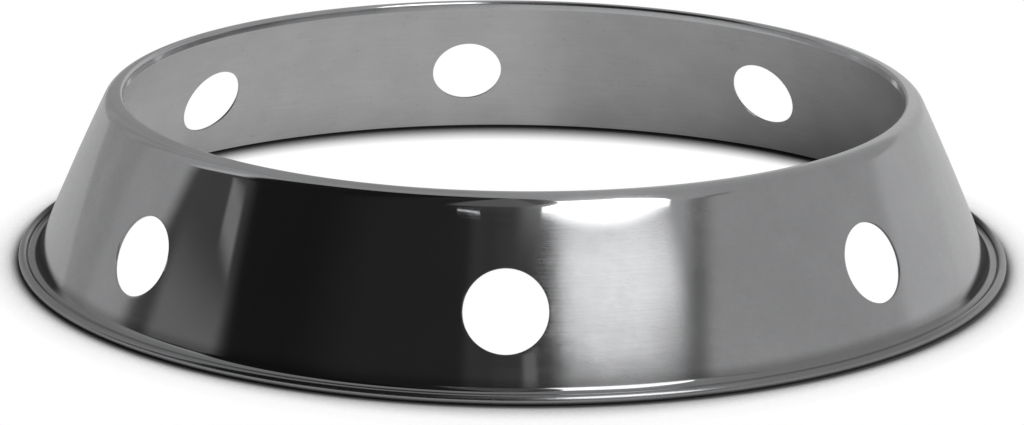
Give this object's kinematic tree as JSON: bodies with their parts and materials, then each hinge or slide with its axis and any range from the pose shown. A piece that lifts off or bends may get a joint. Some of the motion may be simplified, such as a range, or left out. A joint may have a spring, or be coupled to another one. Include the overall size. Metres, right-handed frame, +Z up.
{
  "type": "wok ring",
  "caption": "Conical sheet-steel ring with vent holes in its wall, a rounded rim with a turned-down lip, and a rolled foot bead; it steadies a round-bottomed pan over a burner.",
  "frame": {"origin": "on the ring's axis at the level it stands on, under the rolled foot bead", "axes": "+Z up along the axis from foot to mouth, -Y the front as pictured, +X to the right of that front"},
  "size_m": [0.248, 0.248, 0.042],
  "materials": {
    "steel": "plain steel, polished and finely brushed outside, satin inside"
  },
  "bodies": {
    "root": {"wok_ring": "steel"}
  },
  "joints": []
}
